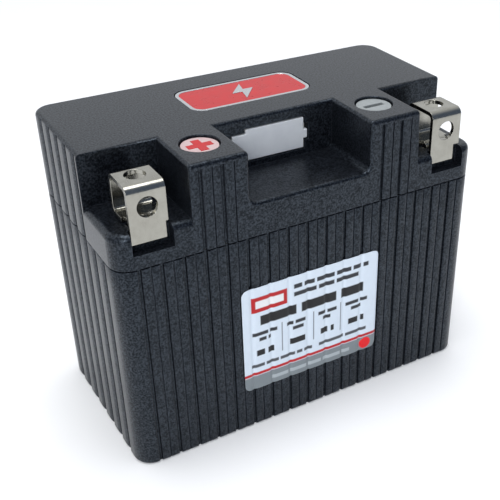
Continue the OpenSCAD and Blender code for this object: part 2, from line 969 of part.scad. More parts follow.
module negative_strap() {
    front = tail_y + term_t;
    back = cell_y(4) + 0.8;
    color(COPPER) {
        riser(1);
        translate([term_x - tail_w / 2, front, strap_z])
            cube([strap_edge - term_x + tail_w / 2, back + 5.6 - front, strap_t]);
        translate([-lug_x - lug_w / 2, back, strap_z])
            cube([lug_x + lug_w / 2 + term_x - tail_w / 2 + 1, 5.6, strap_t]);
    }
}

// ---- balance electronics ----

module post_places() {
    for (sx = [-1, 1], sy = [-1, 1])
        translate([sx * post_x, pcb_y + sy * post_dy, 0])
            children();
}

module board_posts() {
    color([0.90, 0.89, 0.84])
    post_places()
        translate([0, 0, board_top])
            difference() {
                cylinder(r = post_r, h = post_h, $fn = post_sides);
                translate([0, 0, 1])
                    cylinder(r = screw_r, h = post_h);
            }
}

module balance_board() {
    color([0.08, 0.33, 0.18])
    difference() {
        translate([0, pcb_y, pcb_low])
            linear_extrude(board_t)
                round_rect(pcb_w, board_d, 2);
        post_places()
            translate([0, 0, pcb_low - 1])
                cylinder(r = screw_r + 0.1, h = board_t + 2);
    }
}

module balance_board_screws() {
    color(BRIGHT)
    post_places()
        translate([0, 0, pcb_top])
            small_screw(board_t + 3.6);
}

module board_chips() {
    color([0.06, 0.06, 0.07]) {
        translate([-5, pcb_y - 9, pcb_top])
            cube([10, 7, 1.4]);
        for (s = [-1, 1])
            translate([s * 9 - 2.5, pcb_y - 8, pcb_top])
                cube([5, 4.4, 1.2]);
    }
}

module board_resistors() {
    color([0.16, 0.15, 0.15])
    for (k = [-1.5 : 1 : 1.5], row = [0, 1])
        translate([k * 7.6 - 3.1, pcb_y - 15 + row * 27.2, pcb_top])
            cube([6.2, 3.2, 0.7]);
}

// point on the smooth route between four hand-set points
function route(p, t) = pow(1 - t, 3) * p[0] + 3 * t * pow(1 - t, 2) * p[1]
    + 3 * t * t * (1 - t) * p[2] + pow(t, 3) * p[3];
function heading(p, t) = 3 * pow(1 - t, 2) * (p[1] - p[0])
    + 6 * t * (1 - t) * (p[2] - p[1]) + 3 * t * t * (p[3] - p[2]);
function unit(v) = v / norm(v);

// round lead along a route that stays in the plane square to side
module lead(p, side) {
    n = lead_rings;
    m = lead_sides;
    points = [for (i = [0 : n], j = [0 : m - 1])
        let (t = i / n, across_dir = unit(cross(heading(p, t), side)), a = 360 * j / m)
            route(p, t) + lead_r * (cos(a) * side + sin(a) * across_dir)];
    sides = [for (i = [0 : n - 1], j = [0 : m - 1])
        [i * m + j, i * m + (j + 1) % m, (i + 1) * m + (j + 1) % m, (i + 1) * m + j]];
    ends = [[for (j = [m - 1 : -1 : 0]) j], [for (j = [0 : m - 1]) n * m + j]];
    polyhedron(points = points, faces = concat(sides, ends));
}

// leads from the port's contacts down to the balance board
module balance_leads() {
    color([0.15, 0.15, 0.17])
    for (k = [0 : pin_n - 1]) {
        x = (k - (pin_n - 1) / 2) * pin_pitch;
        end_y = pcb_y + 6.5;
        lead([
            [x, pin_end, port_z], [x, pin_end + 7, port_z],
            [x, end_y, pcb_top + 8], [x, end_y, pcb_top]
        ], [1, 0, 0]);
    }
}

// leads from the balance board down to the links and straps
module sense_leads() {
    drops = [[-1, cell_y(1) + 4.6], [1, cell_y(1) + 6], [-1, 0],
        [1, cell_y(3) + 6], [-1, cell_y(4) + 1.8]];
    color([0.70, 0.10, 0.10])
    for (d = drops) {
        x0 = d[0] * (pcb_w / 2 - 2);
        x1 = d[0] * lug_x;
        lead([
            [x0, d[1], pcb_low], [x0, d[1], pcb_low - 3],
            [x1, d[1], strap_top + 2.6], [x1, d[1], strap_top]
        ], [0, 1, 0]);
    }
}

case_part();  // case
cover();
seam_seal();
front_label();
rear_label();
emblem_plate();
emblem_face();
emblem_bolt();
positive_marker();
plus_sign();
negative_marker();
positive_terminal();
negative_terminal();
tail_seals();
tail_rivets();
port_socket();
port_pins();
port_cap();
cell(1);  // cell_1
cell(2);  // cell_2
cell(3);  // cell_3
cell(4);  // cell_4
positive_lugs();
negative_lugs();
cell_pads();
end_pads();
base_pad();
tab_board();
tab_board_screws();
series_links();
positive_strap();
negative_strap();
board_posts();
balance_board();
balance_board_screws();
board_chips();
board_resistors();
balance_leads();
sense_leads();
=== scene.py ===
import math

import bmesh
import bpy
import numpy as np
from mathutils import Matrix, Vector


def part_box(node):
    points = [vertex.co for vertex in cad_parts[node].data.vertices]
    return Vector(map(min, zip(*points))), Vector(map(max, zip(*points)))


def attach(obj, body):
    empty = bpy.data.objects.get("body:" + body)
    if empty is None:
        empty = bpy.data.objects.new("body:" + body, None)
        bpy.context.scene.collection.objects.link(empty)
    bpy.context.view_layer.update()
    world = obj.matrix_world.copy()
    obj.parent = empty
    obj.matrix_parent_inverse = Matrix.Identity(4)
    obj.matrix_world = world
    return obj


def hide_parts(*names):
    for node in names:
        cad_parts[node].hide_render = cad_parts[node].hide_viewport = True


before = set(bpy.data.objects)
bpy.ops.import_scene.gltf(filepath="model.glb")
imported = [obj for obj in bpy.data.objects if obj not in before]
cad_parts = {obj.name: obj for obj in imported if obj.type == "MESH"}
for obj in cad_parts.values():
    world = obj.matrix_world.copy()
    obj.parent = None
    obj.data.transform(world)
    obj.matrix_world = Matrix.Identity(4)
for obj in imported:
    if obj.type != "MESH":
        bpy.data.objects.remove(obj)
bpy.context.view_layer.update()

MM = 0.001

# ---- case -------------------------------------------------------------------
# The deep tub that holds the cells. It is injection moulded in black ABS, with
# upright ribs all round for stiffness: a deep groove and a fine line take turns.
# The cover is welded to its rim.

CASE_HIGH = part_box("case")[1]
HALF = np.array([CASE_HIGH.x, CASE_HIGH.y])
CORNER_R = 5.4 * MM
WALL = 2.4 * MM
RIB_PITCH = 3.05 * MM
RIB_LINES = 34
END_PITCH = 6.6 * MM
END_SHIFT = 0.6 * MM
RIB_CROWN = 0.07 * MM
END_CROWN = 0.05 * MM
GROOVE_HALF = 0.45 * MM
GROOVE_MOUTH = 0.35 * MM
GROOVE_DEPTH = 0.9 * MM


def groove_profile(half, mouth, depth, floor_r):
    """Half of a groove from its mouth to its middle, as (distance from the middle, depth) rows: a
    quarter circle of radius mouth rolls over the edge, a straight wall goes down, and a quarter circle
    of radius floor_r turns into the flat bottom."""
    over = np.radians([0, 25, 50, 70, 90])
    under = np.radians([15, 50, 90])
    return np.concatenate([
        np.stack([half + mouth * (1 - np.sin(over)), mouth * (1 - np.cos(over))], 1),
        np.stack([half - floor_r * (1 - np.cos(under)), depth - floor_r * (1 - np.sin(under))], 1),
        [[0.0, depth]],
    ])


def rolled_profile(half, reach, sink, depth, floor_r):
    """Half of an end groove, as rows like the other's: its shoulder sinks by the 1.6th power of the
    share of the way from reach to half, and below it the wall and bottom are those of any groove."""
    away = np.linspace(reach, half, 10)
    shoulder = np.stack([away, sink * ((reach - away) / (reach - half)) ** 1.6], 1)
    return np.concatenate([shoulder, groove_profile(half, sink, depth, floor_r)[5:]])


def side_steps(lines, profiles, pitch, crown, reach):
    """Steps along one straight side, as (place, depth) rows in order: each line's groove profile is
    laid out both ways from the line, three steps lie on each rib, and the rib is crowned by crown times
    the square of the distance from its middle."""
    rows = [np.concatenate([p * [-1, 1], p[-2::-1]]) + [x, 0] for x, p in zip(lines, profiles)]
    middles = np.concatenate([lines[:-1] + pitch / 2, [lines[0] - pitch / 2, lines[-1] + pitch / 2]])
    ribs = (middles[:, None] + pitch * np.array([-0.14, 0, 0.14])).ravel()
    ribs = ribs[abs(ribs) < reach]
    steps = np.concatenate(rows + [np.stack([ribs, 0 * ribs], 1)])
    steps = steps[np.argsort(steps[:, 0], kind="stable")]
    steps = steps[abs(steps[:, 0]) < reach]
    from_middle = abs(((steps[:, 0] - lines[0]) / pitch) % 1 - 0.5) * 2
    inside = (steps[:, 0] > lines[0]) & (steps[:, 0] < lines[-1])
    steps[:, 1] += crown * from_middle**2 * inside
    return steps


def body_outline():
    """The rounded rectangle round the case, as arrays with one entry per step, counter-clockwise seen
    from above: the place inside the rectangle of the four corner centres (each from -1 to 1), the
    outward direction, and the rib depth."""
    straight = HALF - CORNER_R
    deep = groove_profile(GROOVE_HALF, GROOVE_MOUTH, GROOVE_DEPTH, 0.15 * MM)
    fine = groove_profile(half=0.2 * MM, mouth=0.08 * MM, depth=0.4 * MM, floor_r=0.06 * MM)
    soft = rolled_profile(GROOVE_HALF, reach=2.1 * MM, sink=0.4 * MM, depth=GROOVE_DEPTH,
                          floor_r=0.15 * MM)
    long_lines = (np.arange(RIB_LINES) - (RIB_LINES - 1) / 2) * RIB_PITCH
    end_lines = END_SHIFT + np.arange(-3, 4) * END_PITCH
    front = side_steps(long_lines, [fine if k % 2 else deep for k in range(RIB_LINES)], RIB_PITCH,
                       RIB_CROWN, straight[0])
    right = side_steps(end_lines, [soft] * 7, END_PITCH, END_CROWN, straight[1])
    back, left = front[::-1], right[::-1]
    turn = np.radians(np.linspace(0, 90, 10))
    inner, outward, depth = [], [], []
    for steps, along, fixed, start in ((front, 0, -1, -90), (right, 1, 1, 0), (back, 0, 1, 90),
                                       (left, 1, -1, 180)):
        place = np.full((len(steps), 2), float(fixed))
        place[:, along] = steps[:, 0] / straight[along]
        normal = np.zeros((len(steps), 2))
        normal[:, 1 - along] = fixed
        corner = np.array([[1, -1], [1, 1], [-1, 1], [-1, -1]][(start + 90) // 90], float)
        angle = turn + math.radians(start)
        inner += [place, np.tile(corner, (10, 1))]
        outward += [normal, np.stack([np.cos(angle), np.sin(angle)], 1)]
        depth += [steps[:, 1], np.zeros(10)]
    return np.concatenate(inner), np.concatenate(outward), np.concatenate(depth)


def carried_rings(levels, outline, ribbed=True):
    """Rings of the outline, one per level of (inset, height, corner radius): each is the outline moved
    inwards by the inset, or by the rib depth where that is more, with its corners drawn at the given
    radius."""
    inner, outward, depth = outline
    inset, height, radius = (np.array(levels)[:, k, None] for k in range(3))
    centre = HALF - np.concatenate([inset + radius, inset + radius], 1)
    away = radius - np.maximum(0, (depth if ribbed else 0 * depth) - inset)
    flat = inner[None] * centre[:, None] + outward[None] * away[..., None]
    return np.concatenate([flat, np.broadcast_to(height[:, :, None], flat.shape[:2] + (1,))], 2)


def skin_of_rings(name, shells, joined=False, smooth=35):
    """One piece made of closed skins, each over rings [level, step, xyz]: four-sided faces join each
    ring to the next, and the first and last ring either join each other or are closed by a pole in
    their middle. A skin that would enclose less than nothing has its faces turned over."""
    points, faces, caps, base = [], [], [], 0
    for rings in shells:
        levels, steps = rings.shape[:2]
        here, after = np.arange(steps), np.roll(np.arange(steps), -1)
        low = np.arange(levels if joined else levels - 1)[:, None] * steps
        high = (low + steps) % (levels * steps)
        quads = np.stack([low + here, low + after, high + after, high + here], -1).reshape(-1, 4)
        place, ends = rings.reshape(-1, 3), np.zeros((0, 3), int)
        if not joined:
            place = np.concatenate([place, rings[[0, -1]].mean(1)])
            end = (levels - 1) * steps
            ends = np.concatenate([
                np.stack([after, here, np.full(steps, levels * steps)], -1),
                np.stack([end + here, end + after, np.full(steps, levels * steps + 1)], -1),
            ])
        a, b, c = np.moveaxis(place[np.concatenate([quads[:, [0, 1, 2]], quads[:, [0, 2, 3]], ends])], 1,
                              0)
        turn = -1 if (a * np.cross(b, c)).sum() < 0 else 1
        points.append(place)
        faces += (quads[:, ::turn] + base).tolist()
        caps += (ends[:, ::turn] + base).tolist()
        base += len(place)
    mesh = bpy.data.meshes.new(name)
    mesh.from_pydata(np.concatenate(points).tolist(), [], faces + caps)
    mesh.polygons.foreach_set("use_smooth", np.ones(len(mesh.polygons), bool))
    mesh.set_sharp_from_angle(angle=math.radians(smooth))
    piece = bpy.data.objects.new(name, mesh)
    bpy.context.collection.objects.link(piece)
    return piece


def linear(code):
    """An sRGB colour such as "2b2e33" as the four linear numbers a socket takes: c / 12.92 below
    0.04045, and ((c + 0.055) / 1.055) to the power 2.4 above it."""
    c = np.array([int(code[k : k + 2], 16) / 255 for k in (0, 2, 4)])
    return (*np.where(c <= 0.04045, c / 12.92, ((c + 0.055) / 1.055) ** 2.4).tolist(), 1.0)


def add(tree, kind, links, **settings):
    """Adds one node. settings are its properties, and links gives each input socket a value or another
    node's output."""
    node = tree.nodes.new(kind)
    for key, value in settings.items():
        setattr(node, key, value)
    for key, value in links.items():
        if isinstance(value, bpy.types.NodeSocket):
            tree.links.new(value, node.inputs[key])
        else:
            node.inputs[key].default_value = value
    return node


def new_finish(name):
    """A new material with its tree, its shader and the socket that gives a point's place on the piece
    in metres."""
    material = bpy.data.materials.new(name)
    material.use_nodes = True
    tree = material.node_tree
    place = tree.nodes.new("ShaderNodeTexCoord").outputs["Object"]
    return material, tree, tree.nodes["Principled BSDF"], place


def dress(piece, body, slot, material, *nodes):
    """Gives a piece its one material and its body, and hides the CAD nodes it stands for. slot is not
    used.
    """
    piece.data.materials.clear()
    piece.data.materials.append(material)
    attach(piece, body)
    if nodes:
        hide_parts(*nodes)


# Injection-moulded ABS from a spark-eroded tool: a fine even grain that keeps it matt and breaks up
# its sheen, which is slightly blue, a little cloudiness where the melt flowed, and edges painted
# slightly lighter, partly as rubbed wear and partly as a painted highlight of light on the rounded edges.
black_abs, tree, shader, place = new_finish("black ABS, moulded grain")
grain = add(tree, "ShaderNodeTexNoise",
            {"Vector": place, "Scale": 1 / (0.5 * MM), "Detail": 2.0, "Roughness": 0.6})
cloud = add(tree, "ShaderNodeTexNoise", {"Vector": place, "Scale": 1 / (26 * MM), "Detail": 3.0})
wear_and_highlight_patches = add(tree, "ShaderNodeTexNoise",
          {"Vector": place, "Scale": 1 / (7 * MM), "Detail": 4.0, "Roughness": 0.7})
# Edge mask: the edges are painted lighter, partly as rubbed wear and partly as a painted highlight where
# rounded edges catch the light.
round_edge = add(tree, "ShaderNodeBevel", {"Radius": 0.45 * MM}, samples=4)
true_edge = add(tree, "ShaderNodeNewGeometry", {})
lean = add(tree, "ShaderNodeVectorMath", {0: round_edge.outputs[0], 1: true_edge.outputs["Normal"]},
           operation="DOT_PRODUCT")
edge = add(tree, "ShaderNodeMapRange",
           {"Value": lean.outputs["Value"], "From Min": 0.995, "From Max": 0.86})
edge_wear_and_highlight = add(tree, "ShaderNodeMath", {0: edge.outputs[0], 1: wear_and_highlight_patches.outputs[0]}, operation="MULTIPLY")
tone = add(tree, "ShaderNodeMix", {0: cloud.outputs[0], 6: linear("07080b"), 7: linear("0b0d11")},
           data_type="RGBA")
speck = add(tree, "ShaderNodeMapRange",
            {"Value": grain.outputs[0], "From Min": 0.45, "From Max": 0.75, "To Max": 0.9})
pale = add(tree, "ShaderNodeMix", {0: speck.outputs[0], 6: tone.outputs[2], 7: linear("262a31")},
           data_type="RGBA")
wear_and_highlight_tone = add(tree, "ShaderNodeMix", {0: edge_wear_and_highlight.outputs[0], 6: pale.outputs[2], 7: linear("34383f")},
            data_type="RGBA")
gloss = add(tree, "ShaderNodeMapRange", {"Value": grain.outputs[0], "To Min": 0.24, "To Max": 0.38})
bumps = add(tree, "ShaderNodeBump", {"Height": grain.outputs[0], "Strength": 0.5, "Distance": 0.08 * MM})
tree.links.new(wear_and_highlight_tone.outputs[2], shader.inputs["Base Color"])
tree.links.new(gloss.outputs[0], shader.inputs["Roughness"])
tree.links.new(bumps.outputs[0], shader.inputs["Normal"])
shader.inputs["IOR"].default_value = 1.54
shader.inputs["Specular Tint"].default_value = (0.70, 0.84, 1.0, 1.0)
sheen = add(tree, "ShaderNodeMapRange", {"Value": grain.outputs[0], "From Min": 0.36, "From Max": 0.64,
                                         "To Min": 0.17, "To Max": 0.5})
tree.links.new(sheen.outputs[0], shader.inputs["Specular IOR Level"])

outline = body_outline()
rim_z = CASE_HIGH.z
quarter = np.radians([0, 15, 30, 45, 60, 75, 90])
BASE_R = 0.9 * MM
HOLLOW = 6 * MM
HOLLOW_UP = 0.6 * MM
HOLLOW_R = 2 * MM
EDGE = 0.1 * MM
RIM_R = 0.22 * MM
RIM_MID = 0.07 * MM
FLOOR_R = 1 * MM
FLOOR_MID = 0.3 * MM

# Levels of (inset, height, corner radius): out from the hollow under the floor and round the base edge,
# up the wall, over the rim, and down inside to the floor.
foot = [
    (HOLLOW, HOLLOW_UP, HOLLOW_R),
    (HOLLOW, EDGE, HOLLOW_R),
    (HOLLOW - EDGE, 0, HOLLOW_R),
    (3.4 * MM, 0, HOLLOW_R),
    (1.6 * MM, 0, 3.8 * MM),
]
for a in quarter:
    inset = BASE_R * (1 - math.sin(a))
    foot.append((inset, BASE_R * (1 - math.cos(a)), CORNER_R - inset))
wall = [(0, z * MM, CORNER_R) for z in (4, 12, 24, 36, 48, 58)]
rim = [
    (0, rim_z - RIM_R, CORNER_R),
    (RIM_MID, rim_z - RIM_MID, CORNER_R - RIM_MID),
    (RIM_R, rim_z, CORNER_R - RIM_R),
    (WALL - EDGE, rim_z, CORNER_R - WALL + EDGE),
    (WALL, rim_z - EDGE, CORNER_R - WALL),
    (WALL, WALL + FLOOR_R, CORNER_R - WALL),
    (WALL + FLOOR_MID, WALL + FLOOR_MID, CORNER_R - WALL - FLOOR_MID),
    (WALL + FLOOR_R, WALL, CORNER_R - WALL - FLOOR_R),
]

# A boss for a screw stands in each corner. Its rows of (radius, height) go up the side, over the top
# and down the bore.
BOSS_X, BOSS_Y = 52.1 * MM, 18 * MM
BOSS_R, BORE_R = 1.8 * MM, 1 * MM
BOSS_TOP, BORE_FLOOR = 56 * MM, 49 * MM
boss = np.array([
    (BOSS_R, WALL),
    (BOSS_R, BOSS_TOP - EDGE),
    (BOSS_R - EDGE, BOSS_TOP),
    (BORE_R, BOSS_TOP),
    (BORE_R, BORE_FLOOR),
])
round_about = np.radians(np.arange(0, 360, 15))
turned = np.stack([
    boss[:, 0, None] * np.cos(round_about),
    boss[:, 0, None] * np.sin(round_about),
    np.broadcast_to(boss[:, 1, None], (len(boss), len(round_about))),
], -1)
bosses = [turned + [sx * BOSS_X, sy * BOSS_Y, 0] for sx in (-1, 1) for sy in (-1, 1)]
case = skin_of_rings("case_shell", [carried_rings(foot + wall + rim, outline)] + bosses)
dress(case, "battery", "abs_black", black_abs, "case")

# ---- cover ------------------------------------------------------------------
# The welded top, moulded in the same ABS: a deck, two pillars, a middle recess
# with the balance port, and two open-fronted terminal recesses. Its recess rims
# and upright edges are rolled over so that they don't chip.


def settle_shading(mesh, sharp):
    """Gives each face corner its shading direction. On a plain face it is the mean of the plain faces
    that meet there and lean less than sharp degrees from it, weighted by area, so that flat faces stay
    flat. On a rolled strip, whose material index is 1, it is that of the plain faces it runs into, and
    inside the roll the mean of its own strips."""
    corner_point = np.empty(len(mesh.loops), np.int32)
    mesh.loops.foreach_get("vertex_index", corner_point)
    sizes, rolled = np.empty((2, len(mesh.polygons)), np.int32)
    mesh.polygons.foreach_get("loop_total", sizes)
    mesh.polygons.foreach_get("material_index", rolled)
    area, normal = np.empty(len(sizes), np.float32), np.empty(len(sizes) * 3, np.float32)
    mesh.polygons.foreach_get("area", area)
    mesh.polygons.foreach_get("normal", normal)
    normal = normal.reshape(-1, 3)
    face = np.repeat(np.arange(len(sizes)), sizes)
    order = np.argsort(corner_point, kind="stable")
    count = np.bincount(corner_point, minlength=len(mesh.vertices))
    first = np.concatenate([[0], np.cumsum(count)[:-1]])
    slot = np.arange(count.max())
    filled = (slot < count[:, None])[corner_point]
    near = face[order[np.minimum(first[:, None] + slot, len(order) - 1)]][corner_point]
    lean = (normal[near] * normal[face][:, None]).sum(-1)
    strip = rolled[face][:, None] > 0
    plain = filled & (rolled[near] == 0)
    run_in, same_strip, flat = (math.cos(math.radians(limit)) for limit in (50, 60, sharp))
    use = plain & (lean > np.where(strip, run_in, flat))
    alone = ~use.any(1)[:, None]
    use = np.where(alone, filled & (rolled[near] > 0) & (lean > same_strip), use)
    mean = ((use * area[near])[..., None] * normal[near]).sum(1)
    mean /= np.maximum(np.linalg.norm(mean, axis=1)[:, None], 1e-12)
    mesh.polygons.foreach_set("use_smooth", np.ones(len(sizes), bool))
    mesh.polygons.foreach_set("material_index", np.zeros(len(sizes), np.int32))
    mesh.normals_split_custom_set(mean.tolist())


def rounded_copy(node, name, rounding, width, segments=3, sharp=32):
    """A copy of a CAD node as one skin, with its outer edges rolled over. Points less than two
    micrometres apart are merged and flat neighbours joined, then each outward edge is rounded by width
    times what rounding(middle, direction) says for it."""
    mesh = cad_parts[node].data.copy()
    work = bmesh.new()
    work.from_mesh(mesh)
    bmesh.ops.remove_doubles(work, verts=work.verts, dist=2e-6)
    bmesh.ops.dissolve_limit(work, angle_limit=math.radians(0.6), verts=work.verts, edges=work.edges)
    weight = work.edges.layers.float.new("bevel_weight_edge")
    outward = [e for e in work.edges if e.is_manifold and e.calc_face_angle_signed(0) > math.radians(40)]
    ends = np.array([[list(v.co) for v in e.verts] for e in outward])
    shares = rounding(ends.mean(1), ends[:, 1] - ends[:, 0])
    for e, share in zip(outward, shares):
        e[weight] = float(share)
    work.to_mesh(mesh)
    work.free()
    piece = bpy.data.objects.new(name, mesh)
    bpy.context.collection.objects.link(piece)
    bevel = piece.modifiers.new("rolled_edges", "BEVEL")
    bevel.limit_method = "WEIGHT"
    bevel.width = width
    bevel.segments = segments
    bevel.use_clamp_overlap = False
    bevel.miter_outer = "MITER_ARC"
    bevel.material = 1
    mesh.materials.clear()
    mesh.materials.append(None)
    mesh.materials.append(None)
    mesh.polygons.foreach_set("material_index", np.zeros(len(mesh.polygons), np.int32))
    graph = bpy.context.evaluated_depsgraph_get()
    piece.data = bpy.data.meshes.new_from_object(piece.evaluated_get(graph), depsgraph=graph)
    piece.data.name = name
    piece.modifiers.clear()
    settle_shading(piece.data, sharp)
    return piece


DECK_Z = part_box("cover")[1].z
SHELF_Z = 74.3 * MM
RECESS_Y = -8.7 * MM
SHELF_EDGE_Y = -28.7 * MM
DISC_ROW_Y = -11 * MM
PILLAR_IN, PILLAR_OUT = 18.6 * MM, 35.1 * MM
WINDOW_HALF = 14.5 * MM
END_ARC_X, END_ARC_Z = 54.8 * MM, 87.81 * MM
NEAR = 0.02 * MM


def cover_rolls(middle, direction):
    """Share of the full 1 mm roll for each edge: all of it on the recess rims, the pillars, the end
    walls and the middle floor's front edge, less on the disc pockets, little at the window, and none on
    the ribs, on the seam or where an end wall meets the deck's own round."""
    x, y, z = abs(middle[:, 0]), middle[:, 1], middle[:, 2]
    along = abs(direction) / np.linalg.norm(direction, axis=1)[:, None]
    rim = (z > SHELF_Z + NEAR) & (y < RECESS_Y + NEAR)
    back_wall = abs(y - RECESS_Y) < NEAR
    between = x < PILLAR_IN + NEAR
    beyond = x > PILLAR_OUT - NEAR
    front_edge = between & (y < SHELF_EDGE_Y)
    pillar = rim & ((abs(x - PILLAR_IN) < NEAR) | (abs(x - PILLAR_OUT) < NEAR))
    back_rim = rim & back_wall & (z > DECK_Z - 1.3 * MM) & (between | beyond)
    end_wall = rim & back_wall & (x > PILLAR_OUT + 1 * MM)
    sill = front_edge & (abs(z - SHELF_Z) < NEAR) & (along[:, 0] > 0.9)
    corner = front_edge & (z < SHELF_Z + 2.1 * MM) & (z > SHELF_Z - NEAR)
    on_pillar = (x > PILLAR_IN + 1 * MM) & (x < PILLAR_OUT - 1 * MM)
    pocket = on_pillar & (z > DECK_Z - NEAR) & (y < DISC_ROW_Y)
    window = back_wall & (z < DECK_Z - 1.5 * MM) & (z > SHELF_Z + 1 * MM) & (x < WINDOW_HALF)
    share = np.zeros(len(x))
    share[pocket] = 0.3
    share[sill | corner | pillar | back_rim | end_wall] = 1.0
    share[end_wall & (x > END_ARC_X) & (z > END_ARC_Z)] = 0
    share[window] = 0.18
    return share


cover = rounded_copy("cover", "cover_shell", cover_rolls, 1.0 * MM, segments=4)
dress(cover, "battery", "abs_black", black_abs, "cover")

# ---- terminals --------------------------------------------------------------
# Each pole is one strip of 1.2 mm brass, folded into a box open at both ends and
# nickel plated. A bolt goes through the front or the top hole into a nut dropped
# inside the fold.

# Bright nickel over stamped brass: a warm white metal with blurred reflections, faint rolling lines
# along the strip and a slight tarnish.
nickel, tree, shader, place = new_finish("nickel plate on brass")
fold = add(tree, "ShaderNodeMapping", {"Vector": place, "Scale": (1.0, 0.06, 0.06)})
rolled = add(tree, "ShaderNodeTexNoise",
             {"Vector": fold.outputs[0], "Scale": 1 / (0.16 * MM), "Detail": 3.0})
tarnish = add(tree, "ShaderNodeTexNoise",
              {"Vector": place, "Scale": 1 / (3.2 * MM), "Detail": 4.0, "Roughness": 0.6})
tone = add(tree, "ShaderNodeMix", {0: tarnish.outputs[0], 6: linear("abaaa2"), 7: linear("8e8b82")},
           data_type="RGBA")
streak = add(tree, "ShaderNodeMapRange", {"Value": rolled.outputs[0], "To Min": 0.10, "To Max": 0.22})
smudge = add(tree, "ShaderNodeMapRange",
             {"Value": tarnish.outputs[0], "From Min": 0.35, "From Max": 0.75, "To Max": 0.14})
rough = add(tree, "ShaderNodeMath", {0: streak.outputs[0], 1: smudge.outputs[0]}, operation="ADD")
ripple = add(tree, "ShaderNodeBump",
             {"Height": tarnish.outputs[0], "Strength": 0.25, "Distance": 0.12 * MM})
tree.links.new(tone.outputs[2], shader.inputs["Base Color"])
tree.links.new(rough.outputs[0], shader.inputs["Roughness"])
tree.links.new(ripple.outputs[0], shader.inputs["Normal"])
shader.inputs["Metallic"].default_value = 1.0


def all_edges(middle, direction):
    """The same roll on every outward edge."""
    return np.ones(len(middle))


for node in ("positive_terminal", "negative_terminal"):
    strap = rounded_copy(node, node + "_strap", all_edges, 0.1 * MM, segments=2)
    dress(strap, "battery", "nickel", nickel, node)

# ---- balance port and its cap -----------------------------------------------
# A white nylon socket sits behind the window in the recess wall. The milky cap
# pushes into it by a hollow plug, and its ear gives a fingernail a hold.


def even_finish(name, tones, size, rough, relief):
    """A finish of one substance: over cloudy patches of the given size its colour drifts between two
    tones, its roughness between two values, and its surface rises and falls by relief. Returns the
    material, its tree, shader, place and cloud."""
    material, tree, shader, place = new_finish(name)
    cloud = add(tree, "ShaderNodeTexNoise", {"Vector": place, "Scale": 1 / size, "Detail": 3.0})
    tone = add(tree, "ShaderNodeMix", {0: cloud.outputs[0], 6: linear(tones[0]), 7: linear(tones[1])},
               data_type="RGBA")
    gloss = add(tree, "ShaderNodeMapRange",
                {"Value": cloud.outputs[0], "To Min": rough[0], "To Max": rough[1]})
    sink = add(tree, "ShaderNodeBump", {"Height": cloud.outputs[0], "Strength": 0.3, "Distance": relief})
    tree.links.new(tone.outputs[2], shader.inputs["Base Color"])
    tree.links.new(gloss.outputs[0], shader.inputs["Roughness"])
    tree.links.new(sink.outputs[0], shader.inputs["Normal"])
    return material, tree, shader, place, cloud


# Unfilled nylon, semi-translucent: light goes a little way in, so its edges look soft. The face is
# slightly wavy from shrinkage.
milky_nylon, _, shader = even_finish("milky nylon, moulded", ("c4c8cd", "dcdfe2"), 5 * MM, (0.34, 0.5),
                                     0.2 * MM)[:3]
shader.inputs["IOR"].default_value = 1.53
shader.inputs["Subsurface Weight"].default_value = 0.35
shader.inputs["Subsurface Radius"].default_value = (1.0, 1.0, 1.0)
shader.inputs["Subsurface Scale"].default_value = 0.8 * MM

# The socket is the same nylon with white pigment, so it is denser and slightly warm.
white_nylon, _, shader = even_finish("white nylon, moulded", ("dedcd2", "ecebe4"), 3 * MM, (0.4, 0.55),
                                     0.1 * MM)[:3]
shader.inputs["IOR"].default_value = 1.53

cap = rounded_copy("port_cap", "port_cap_moulding", all_edges, 0.3 * MM)
dress(cap, "port_cap", "milky_nylon", milky_nylon, "port_cap")
socket = rounded_copy("port_socket", "port_socket_moulding", all_edges, 0.12 * MM, segments=2)
dress(socket, "battery", "white_nylon", white_nylon, "port_socket")

# ---- polarity discs ---------------------------------------------------------
# Two printed plastic discs glued into round pockets in the pillars: white with a
# red plus, and grey with a dark minus cut through it.

# Polystyrene discs, almost matt, dulled a little by handling.
disc_white = even_finish("white styrene disc", ("b59a9a", "c9b0af"), 1.2 * MM, (0.38, 0.55), 0.05 * MM)[0]
disc_grey = even_finish("grey styrene disc", ("7a7f80", "999e9f"), 1.2 * MM, (0.42, 0.6), 0.05 * MM)[0]

# Red ink or enamel laid thick: saturated, with a soft gloss.
red_enamel, _, shader = even_finish("red enamel", ("a0040c", "c00a14"), 4 * MM, (0.22, 0.36),
                                    0.1 * MM)[:3]
shader.inputs["IOR"].default_value = 1.5
shader.inputs["Specular IOR Level"].default_value = 0.28

plus_disc = rounded_copy("positive_marker", "positive_disc", all_edges, 0.12 * MM, segments=2)
dress(plus_disc, "battery", "marker_white", disc_white, "positive_marker")
plus = rounded_copy("plus_sign", "plus_inlay", all_edges, 0.1 * MM, segments=2)
dress(plus, "battery", "red_plastic", red_enamel, "plus_sign")
minus_disc = rounded_copy("negative_marker", "negative_disc", all_edges, 0.12 * MM, segments=2)
dress(minus_disc, "battery", "marker_grey", disc_grey, "negative_marker")

# ---- emblem -----------------------------------------------------------------
# A bright plastic plate pressed into the deck, with a red enamel field and a
# raised bolt as its plain motif.

# Electroplated ABS: near-mirror chrome with a slight orange peel from the moulding under it.
chrome, _, shader = even_finish("chromed plastic", ("b4b7ba", "cdd0d2"), 0.9 * MM, (0.12, 0.3),
                                0.05 * MM)[:3]
shader.inputs["Metallic"].default_value = 1.0

plate = rounded_copy("emblem_plate", "emblem_rim", all_edges, 0.14 * MM, segments=2)
dress(plate, "battery", "bright_plastic", chrome, "emblem_plate")
field = rounded_copy("emblem_face", "emblem_field", all_edges, 0.06 * MM, segments=2)
dress(field, "battery", "red_plastic", red_enamel, "emblem_face")
bolt = rounded_copy("emblem_bolt", "emblem_motif", all_edges, 0.1 * MM, segments=2)
dress(bolt, "battery", "bright_plastic", chrome, "emblem_bolt")

# ---- labels -----------------------------------------------------------------
# A polyester film, printed and cut with round corners, stuck over the ribs at
# front and back. It bridges the grooves, sinking into each a little, so its upper
# edge waves.

